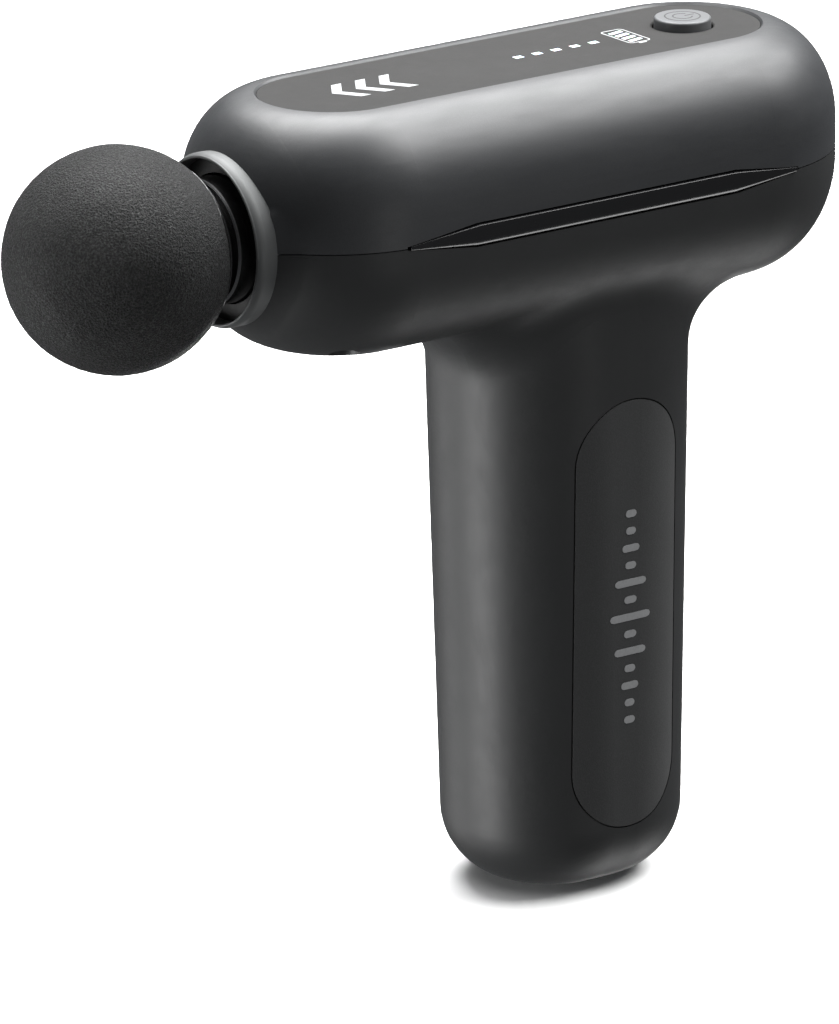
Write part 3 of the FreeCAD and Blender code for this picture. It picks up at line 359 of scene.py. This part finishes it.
def slot_materials():
    """The finish of each of the record's material slots."""
    motor = middle("rotor_can")
    drive = middle("nose_collar")
    cell_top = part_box("battery_cell_front")[1].z
    return {
        "shell_upper": satin_paint("satin_paint", rgb(0.034, 0.036, 0.039)),
        "shell_lower": moulded("shell_lower", rgb(0.027, 0.028, 0.0285), 0.50),
        "panel_face": moulded("panel_face", rgb(0.037, 0.0365, 0.036), 0.78, 0.18 * MM, 0.003 * MM, 0.05,
                              IOR=1.32),
        "light_window": milky_window("light_window", rgb(0.9, 0.92, 0.92)),
        "strip_gloss": gloss("strip_gloss", rgb(0.006, 0.006, 0.007), 0.2),
        "grip_rubber": soft_rubber("grip_rubber", rgb(0.042, 0.043, 0.0435)),
        "collar_satin": moulded("collar_satin", rgb(0.145, 0.15, 0.15), 0.55, 0.16 * MM, 0.002 * MM,
                                0.06, 0.03, Metallic=0.5),
        # Painted shade: the seal's base colour is darkened to 0.006 so that it reads as black as the shade
        # inside the collar's recess.
        "seal_rubber": soft_rubber("seal_rubber", rgb(0.006), 0.6, 0.3 * MM, 0.006 * MM, 0.0),
        "ball_foam": foam_skin("ball_foam", rgb(0.008, 0.0084, 0.0084)),
        "stem_gloss": gloss("stem_gloss", rgb(0.006), 0.1),
        "sleeve_rubber": soft_rubber("sleeve_rubber", rgb(0.010), 0.55, 0.25 * MM, 0.006 * MM, 0.05),
        "plunger_metal": turned("plunger_metal", rgb(0.3, 0.3, 0.305), 0.3, drive, 0.3 * MM, "X"),
        "guide_metal": metal("guide_metal", rgb(0.62, 0.63, 0.65), 0.5, 0.5 * MM, 0.02 * MM),
        "bush_bronze": turned("bush_bronze", rgb(0.55, 0.36, 0.16), 0.4, drive, 0.4 * MM, "X"),
        "damper_rubber": soft_rubber("damper_rubber", rgb(0.02)),
        "bracket_metal": metal("bracket_metal", rgb(0.7, 0.71, 0.72), 0.34, 0.2 * MM, 0.003 * MM,
                               (0.05, 1, 1)),
        "screw_steel": metal("screw_steel", rgb(0.16, 0.16, 0.165), 0.36, 0.2 * MM),
        "bearing_steel": turned("bearing_steel", rgb(0.7, 0.7, 0.71), 0.2, motor),
        "core_iron": stacked_steel("core_iron", rgb(0.32, 0.32, 0.33)),
        "winding_copper": wound_copper("winding_copper", rgb(0.75, 0.3, 0.12), motor),
        "can_steel": turned("can_steel", rgb(0.5, 0.5, 0.52), 0.28, motor),
        "magnet_nickel": metal("magnet_nickel", rgb(0.6, 0.6, 0.6), 0.3, 0.4 * MM),
        "crank_steel": turned("crank_steel", rgb(0.45, 0.45, 0.46), 0.33, motor, 0.3 * MM),
        "button_cap": moulded("button_cap", rgb(0.16, 0.165, 0.17), 0.5, 0.16 * MM, 0.003 * MM, 0.06, 0.03,
                              Metallic=0.35),
        "switch_body": moulded("switch_body", rgb(0.02), 0.45),
        "board_green": circuit_board("board_green", rgb(0.012, 0.09, 0.04)),
        "chip_black": moulded("chip_black", rgb(0.015), 0.55, 0.12 * MM),
        "led_white": phosphor("led_white", rgb(0.92, 0.92, 0.88)),
        "cell_wrap": wrapped_cell("cell_wrap", rgb(0.02, 0.1, 0.3), cell_top),
        "holder_plastic": moulded("holder_plastic", rgb(0.025), 0.5),
        "nickel_strip": metal("nickel_strip", rgb(0.7, 0.68, 0.64), 0.26, 0.2 * MM, 0.003 * MM,
                              (0.06, 1, 1)),
        "pad_foam": soft_rubber("pad_foam", rgb(0.04), 0.85, 0.5 * MM, 0.05 * MM),
        "port_steel": metal("port_steel", rgb(0.6, 0.6, 0.62), 0.25, 0.2 * MM, 0.002 * MM, (0.08, 1, 1)),
        "lead_red": moulded("lead_red", rgb(0.42, 0.015, 0.015), 0.35, 0.4 * MM),
        "lead_grey": moulded("lead_grey", rgb(0.09), 0.4, 0.4 * MM),
    }


def dress_frame(materials):
    """Gives each CAD node the finish of its slot."""
    for part in frame["record"]["subparts"]:
        mesh = frame["nodes"][part["node"]].data
        for i in range(len(mesh.materials)):
            mesh.materials[i] = materials[part["material_slot"]]


# ---- meshes ---------------------------------------------------------------
def new_piece(name, mesh, material, body):
    """An object that rides on a CAD body."""
    piece = bpy.data.objects.new(name, mesh)
    bpy.context.scene.collection.objects.link(piece)
    mesh.materials.append(material)
    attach(piece, body)
    return piece


def mesh_from(bm, name, smooth=False):
    """A mesh with its faces turned outwards. The build mesh is freed."""
    bmesh.ops.recalc_face_normals(bm, faces=bm.faces)
    for face in bm.faces:
        face.smooth = smooth
    mesh = bpy.data.meshes.new(name)
    bm.to_mesh(mesh)
    bm.free()
    return mesh


def bridge(bm, rings, closed=True):
    """Quads between each ring of points and the next one."""
    for a, b in zip(rings, rings[1:]):
        for i in range(len(a) if closed else len(a) - 1):
            j = (i + 1) % len(a)
            bm.faces.new((a[i], a[j], b[j], b[i]))


def add_plate(bm, outline, low, high, hole=None):
    """A flat plate over a closed outline, with a hole of as many points if one is given."""
    rings = []
    for z in (low, high):
        rings.append([bm.verts.new((x, y, z)) for x, y in outline])
        if hole:
            rings.append([bm.verts.new((x, y, z)) for x, y in hole])
    pairs = [(0, 1)] if not hole else [(0, 2), (3, 1), (2, 3), (1, 0)]
    for a, b in pairs:
        bridge(bm, (rings[a], rings[b]))
    if not hole:
        bm.faces.new(rings[0])
        bm.faces.new(rings[1])


def round_rect(cx, cy, half_x, half_y, radius, steps=6):
    """A rounded rectangle as points, anticlockwise."""
    points = []
    for i, (sx, sy) in enumerate(((1, 1), (-1, 1), (-1, -1), (1, -1))):
        for k in range(steps + 1):
            angle = math.pi / 2 * (i + k / steps)
            points.append((cx + sx * (half_x - radius) + radius * math.cos(angle),
                           cy + sy * (half_y - radius) + radius * math.sin(angle)))
    return points


def arc(cx, cy, radius, start, end, steps):
    """Points along an arc, in degrees."""
    angles = [math.radians(start + (end - start) * k / steps) for k in range(steps + 1)]
    return [(cx + radius * math.cos(a), cy + radius * math.sin(a)) for a in angles]


def chevron(x, wide=2.25 * MM, back=3.2 * MM, half=4.8 * MM):
    """An arrowhead that points to -X, its tip at x."""
    return [(x, 0), (x + back, half), (x + back + wide, half), (x + wide, 0),
            (x + back + wide, -half), (x + back, -half)]


def top_prints(ink):
    """Chevrons and the outline of the charge gauge, printed on the panel."""
    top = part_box("top_panel")[1].z
    low, high = top - 0.02 * MM, top + 0.03 * MM
    bm = bmesh.new()
    for i in range(3):
        add_plate(bm, chevron(CHEVRON_TIP + CHEVRON_PITCH * i), low, high)
    gauge = middle("battery_light_guide")
    outer = round_rect(gauge.x, gauge.y, GAUGE_HALF_X, GAUGE_HALF_Y, 1.0 * MM)
    inner = round_rect(gauge.x, gauge.y, GAUGE_HALF_X - GAUGE_LINE, GAUGE_HALF_Y - GAUGE_LINE, 0.7 * MM)
    add_plate(bm, outer, low, high, inner)
    terminal = gauge.y - GAUGE_HALF_Y - 0.45 * MM
    add_plate(bm, round_rect(gauge.x, terminal, 0.9 * MM, 0.28 * MM, 0.2 * MM), low, high)
    return new_piece("top_prints", mesh_from(bm, "top_prints"), ink, "housing")


def button_symbol(ink):
    """A thin ring with the usual power symbol inside it."""
    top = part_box("power_button")[1].z
    centre = middle("power_button")
    low, high = top - 0.02 * MM, top + 0.02 * MM
    bm = bmesh.new()
    steps = 48
    last = 360 - 360 / steps
    add_plate(bm, arc(centre.x, centre.y, SYMBOL_RING, 0, last, steps - 1), low, high,
              arc(centre.x, centre.y, SYMBOL_RING - 2 * SYMBOL_LINE, 0, last, steps - 1))
    outer = arc(centre.x, centre.y, SYMBOL_ARC + SYMBOL_LINE, 35, 325, 24)
    inner = arc(centre.x, centre.y, SYMBOL_ARC - SYMBOL_LINE, 325, 35, 24)
    add_plate(bm, outer + inner, low, high)
    add_plate(bm, round_rect(centre.x + SYMBOL_ARC * 0.85, centre.y, SYMBOL_ARC * 0.6, SYMBOL_LINE,
                             SYMBOL_LINE * 0.9), low, high)
    return new_piece("button_symbol", mesh_from(bm, "button_symbol"), ink, "button")


def bar_grid(bm, cx, cz, half_x, half_z, y, columns=10):
    """A round-ended bar across the grip, as a fine strip in an upright plane."""
    last = None
    for k in range(columns + 1):
        s = -math.cos(math.pi * k / columns)
        x = cx + s * half_x
        inset = max(abs(x - cx) - (half_x - half_z), 0)
        reach = math.sqrt(max(half_z ** 2 - inset ** 2, (0.12 * half_z) ** 2))
        line = [bm.verts.new((x, y, cz - reach)), bm.verts.new((x, y, cz + reach))]
        if last:
            bm.faces.new((last[0], line[0], line[1], last[1]))
        last = line


def surface_tree(node):
    """A CAD node's surface, for laying things on it."""
    mesh = frame["nodes"][node].data
    return BVHTree.FromPolygons([v.co for v in mesh.vertices], [p.vertices for p in mesh.polygons])


def grip_mark(ink):
    """A plain column of pulse bars on the left grip panel, laid on its curved skin."""
    cx = middle("grip_panel_left").x
    tree = surface_tree("grip_panel_left")
    bm = bmesh.new()
    pitch = (MARK_END - MARK_START) / (MARK_BARS - 1)
    outside = -40 * MM
    for i in range(MARK_BARS):
        swell = math.exp(-((i - (MARK_BARS - 1) / 2) / MARK_SPREAD) ** 2)
        beat = 0.55 + 0.45 * math.cos(math.pi * i)
        half = MARK_SHORT + MARK_SWELL * swell * beat
        bar_grid(bm, cx, MARK_START + pitch * i, half, MARK_BAR_HALF, outside)
    for vert in bm.verts:
        hit = tree.ray_cast(vert.co, Vector((0, 1, 0)))[0]
        vert.co = hit - Vector((0, 0.03 * MM, 0))
    piece = new_piece("grip_mark_left", mesh_from(bm, "grip_mark"), ink, "housing")
    skin = piece.modifiers.new("skin", "SOLIDIFY")
    skin.thickness = 0.05 * MM
    skin.offset = 0
    return piece


def carried_on(raw, j):
    """The run's value at j, carried on straight past either end."""
    if j < 0:
        return raw[0] + (raw[0] - raw[1]) * -j
    if j >= len(raw):
        return raw[-1] + (raw[-1] - raw[-2]) * (j - len(raw) + 1)
    return raw[j]


def fairing_profile(raw, reach):
    """A run of depths with its valleys filled by a running average."""
    shares = [(k, math.exp(-0.5 * (k / reach) ** 2)) for k in range(-3 * reach, 3 * reach + 1)]
    weight = sum(share for _, share in shares)
    filled = []
    for i, depth in enumerate(raw):
        average = sum(carried_on(raw, i + k) * share for k, share in shares) / weight
        filled.append(min(depth, average))
    return filled


def points_at(bm, depths, spots):
    """A point at each spot across the nose, at its depth along X."""
    return [bm.verts.new((x, y, z)) for x, (y, z) in zip(depths, spots)]


def nose_fairing(node, side, material):
    """A thin skin on one shell that blends the cone behind the collar into the head's round front."""
    low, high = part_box("nose_collar")
    cz = (low.z + high.z) / 2
    inner = (high.z - low.z) / 2 + 0.03 * MM
    radii = [inner + FAIRING_STEP * i for i in range(FAIRING_RINGS)]
    tree = surface_tree(node)
    bm = bmesh.new()
    columns = []
    for k in range(FAIRING_TURNS + 1):
        angle = math.pi * k / FAIRING_TURNS
        spots = [(r * math.cos(angle), cz + side * max(r * math.sin(angle), SEAM_CLEAR)) for r in radii]
        hits = [tree.ray_cast(Vector((low.x - 10 * MM, y, z)), Vector((1, 0, 0)))[0] for y, z in spots]
        if any(hit is None for hit in hits):
            continue
        raw = [hit.x for hit in hits]
        skin = [x - FAIRING_PROUD for x in fairing_profile(raw, FAIRING_REACH)]
        skin[-1] = raw[-1] + 0.03 * MM
        hem = [x + 0.05 * MM for x in raw]
        if k == 0:
            columns.append(points_at(bm, hem, spots))
        columns.append(points_at(bm, skin, spots))
        if k == FAIRING_TURNS:
            columns.append(points_at(bm, hem, spots))
    bridge(bm, columns, closed=False)
    mesh = mesh_from(bm, node + "_nose", True)
    mesh.set_sharp_from_angle(angle=math.radians(40))
    return new_piece(node + "_nose", mesh, material, "housing")


def strip_section(skin, floor, half, full):
    """An accent strip's section from bottom to top: rounded lower bevel, flat face, steep upper bevel."""
    share = half / full
    face = skin + STRIP_PROUD * share
    radius = STRIP_ROLL * share
    turns = 8
    line = [(floor, -half)]
    for k in range(turns + 1):
        t = STRIP_LEAN * (1 - k / turns)
        rise = radius * (math.sin(STRIP_LEAN) - math.sin(t))
        line.append((face - radius * (1 - math.cos(t)), -half + rise))
    line += [(face, half - STRIP_STEEP * share), (skin, half), (floor, half)]
    return line


def accent_strip(node, side, material):
    """A long pointed gloss strip: its section, drawn in towards each tip."""
    low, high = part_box(node)
    skin = frame_width / 2
    floor = min(abs(low.y), abs(high.y))
    full = (high.z - low.z) / 2
    cz = (low.z + high.z) / 2
    bm = bmesh.new()
    rings = []
    stations = ((low.x, STRIP_TIP), (low.x + STRIP_TAPERS[0], full), (high.x - STRIP_TAPERS[1], full),
                (high.x, STRIP_TIP))
    for x, half in stations:
        section = strip_section(skin, floor, half, full)
        rings.append([bm.verts.new((x, side * y, cz + z)) for y, z in section])
    bridge(bm, rings)
    bm.faces.new(rings[0])
    bm.faces.new(rings[-1])
    mesh = mesh_from(bm, node, True)
    mesh.set_sharp_from_angle(angle=STRIP_CREASE)
    strip = new_piece(node + "_bevelled", mesh, material, "housing")
    edges = strip.modifiers.new("edges", "BEVEL")
    edges.width = 0.07 * MM
    edges.segments = 2
    edges.limit_method = "ANGLE"
    edges.angle_limit = STRIP_CREASE
    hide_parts(node)
    return strip


def cube_sphere(bm, radius, cuts):
    """A sphere of even quads, from a divided cube."""
    bmesh.ops.create_cube(bm, size=2)
    bmesh.ops.subdivide_edges(bm, edges=bm.edges, cuts=cuts, use_grid_fill=True)
    for vert in bm.verts:
        x, y, z = (math.tan(c * math.pi / 4) for c in vert.co)
        vert.co = Vector((x, y, z)).normalized() * radius


def foam_ball(material):
    """The ball: a foam skin with open cells, cut out round the stem's flange."""
    low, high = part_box("massage_ball")
    radius = (high.z - low.z) / 2
    centre = Vector((low.x + radius, 0, (low.z + high.z) / 2))
    bm = bmesh.new()
    cube_sphere(bm, radius, 121)
    for vert in bm.verts:
        p = vert.co
        lumps = noise.noise(p / (7 * MM))
        grain = noise.fractal(p / (0.75 * MM), 0.7, 2.0, 3)
        pit = noise.voronoi(p / (1.15 * MM))[0][0]
        depth_in_mm = 0.06 * lumps + 0.045 * grain + 0.09 * min(pit, 0.6) - 0.10
        vert.co = centre + p * (1 + depth_in_mm * MM / radius)
    for face in bm.faces:
        face.smooth = True
    mesh = bpy.data.meshes.new("foam_ball")
    bm.to_mesh(mesh)
    bm.free()
    ball = new_piece("foam_ball", mesh, material, "attachment")
    cut_round(ball, "attachment_stem", centre)
    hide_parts("massage_ball")
    return ball


def cut_round(ball, stem, centre):
    """Cuts the recess for the stem's flange and core out of the ball."""
    low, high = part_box(stem)
    radius = (high.z - low.z) / 2 + 0.04 * MM
    gap = 0.05 * MM
    front = FLANGE_FRONT - gap
    core = CORE_RADIUS + gap
    profile = [(low.x - gap, core), (front, core), (front, radius), (centre.x + 30 * MM, radius)]
    steps = 96
    turns = [2 * math.pi * k / steps for k in range(steps)]
    bm = bmesh.new()
    rings = [[bm.verts.new((x, r * math.cos(t), centre.z + r * math.sin(t))) for t in turns]
             for x, r in profile]
    bridge(bm, rings)
    bm.faces.new(rings[0])
    bm.faces.new(rings[-1])
    tool = bpy.data.objects.new("cutter", mesh_from(bm, "cutter"))
    bpy.context.scene.collection.objects.link(tool)
    cut = ball.modifiers.new("cut", "BOOLEAN")
    cut.object = tool
    cut.operation = "DIFFERENCE"
    cut.solver = "EXACT"
    bpy.context.view_layer.update()
    graph = bpy.context.evaluated_depsgraph_get()
    mesh = bpy.data.meshes.new_from_object(ball.evaluated_get(graph))
    ball.modifiers.clear()
    ball.data = mesh
    bpy.data.objects.remove(tool)


# ---- studio ---------------------------------------------------------------
TARGET = Vector((-32.5 * MM, 0, 77.2 * MM))
VIEW_AZIMUTH, VIEW_ELEVATION, VIEW_ROLL = -36.0, 17.3, -0.35
VIEW_DISTANCE = 2.1402
LENS = 400.0


def back_of(azimuth, elevation):
    """The way from the object to a viewer."""
    a, e = math.radians(azimuth), math.radians(elevation)
    return Vector((math.sin(a) * math.cos(e), -math.cos(a) * math.cos(e), math.sin(e)))


def facing(place, back):
    """A pose at place that looks along -back, upright."""
    right = Vector((0, 0, 1)).cross(back).normalized()
    turn = Matrix((right, back.cross(right), back)).transposed()
    return Matrix.Translation(place) @ turn.to_4x4()


def make_camera():
    """A long lens at the chosen angle."""
    data = bpy.data.cameras.new("view")
    data.lens = LENS
    data.clip_start, data.clip_end = 0.1, 60.0
    camera = bpy.data.objects.new("view", data)
    bpy.context.scene.collection.objects.link(camera)
    back = back_of(VIEW_AZIMUTH, VIEW_ELEVATION)
    roll = Matrix.Rotation(math.radians(VIEW_ROLL), 4, "Z")
    camera.matrix_world = facing(TARGET + back * VIEW_DISTANCE, back) @ roll
    bpy.context.scene.camera = camera


def soft_box(name, azimuth, elevation, distance, size, power):
    """A rectangular soft light that faces the object, in degrees, metres and watts."""
    data = bpy.data.lights.new(name, "AREA")
    data.shape = "RECTANGLE"
    data.size, data.size_y = size
    data.energy = power
    lamp = bpy.data.objects.new(name, data)
    bpy.context.scene.collection.objects.link(lamp)
    back = back_of(azimuth, elevation)
    lamp.matrix_world = facing(Vector((0, 0, 0.1)) + back * distance, back)
    lamp.visible_camera = False
    return lamp


def make_lights():
    """A bright bank above and behind, weaker ones for the edges, and a dim surround."""
    soft_box("key", 150.0, 62.0, 1.1, (0.9, 0.85), 25.0)
    soft_box("key_side", 74.0, 50.0, 1.1, (0.95, 0.7), 18.0)
    soft_box("top", -130.0, 74.0, 1.1, (0.6, 0.6), 4.5)
    soft_box("strip_left", -104.0, -17.0, 1.2, (0.5, 0.9), 13.0)
    soft_box("rim_left", -150.0, -18.0, 1.2, (0.3, 0.8), 3.0)
    soft_box("rim_right", 136.0, -24.0, 1.2, (0.14, 0.6), 1.4)
    soft_box("under", 86.0, -56.0, 0.8, (0.4, 0.36), 1.2)
    soft_box("front", 8.0, -12.0, 1.4, (0.5, 0.6), 1.2)
    world = bpy.data.worlds.new("studio")
    world.use_nodes = True
    background = world.node_tree.nodes["Background"]
    background.inputs["Color"].default_value = rgb(0.95, 0.97, 1.0)
    background.inputs["Strength"].default_value = 0.11
    bpy.context.scene.world = world


def make_floor():
    """A pale matt floor under everything, with a wash of its own. It throws no light back."""
    bm = bmesh.new()
    bmesh.ops.create_grid(bm, x_segments=8, y_segments=8, size=12.0)
    floor = bpy.data.objects.new("floor", mesh_from(bm, "floor"))
    bpy.context.scene.collection.objects.link(floor)
    floor.location.z = -0.05 * MM
    f = Finish("floor", Roughness=0.9)
    f.set("Base Color", f.tint(f.noise(0.4, 3.0), (0.3, rgb(0.86)), (0.7, rgb(0.88))))
    floor.data.materials.append(f.material)
    floor.visible_diffuse = floor.visible_glossy = floor.visible_shadow = False
    wash = soft_box("floor_wash", 0.0, 90.0, 3.0, (5.0, 5.0), 90.0)
    group = bpy.data.collections.new("floor_only")
    group.objects.link(floor)
    wash.light_linking.receiver_collection = group


def main():
    materials = slot_materials()
    dress_frame(materials)
    pale_ink = printed_ink("pale_ink", rgb(0.5, 0.515, 0.52))
    grey_ink = printed_ink("grey_ink", rgb(0.40, 0.405, 0.41))
    dark_ink = printed_ink("dark_ink", rgb(0.02, 0.021, 0.022))
    top_prints(pale_ink)
    button_symbol(dark_ink)
    grip_mark(grey_ink)
    foam_ball(materials["ball_foam"])
    for node, side, slot in (("upper_shell", 1, "shell_upper"), ("lower_shell", -1, "shell_lower")):
        nose_fairing(node, side, materials[slot])
    accent_strip("accent_strip_left", -1, materials["strip_gloss"])
    accent_strip("accent_strip_right", 1, materials["strip_gloss"])
    make_floor()
    make_lights()
    make_camera()
    bpy.context.scene.view_settings.view_transform = "Standard"


main()
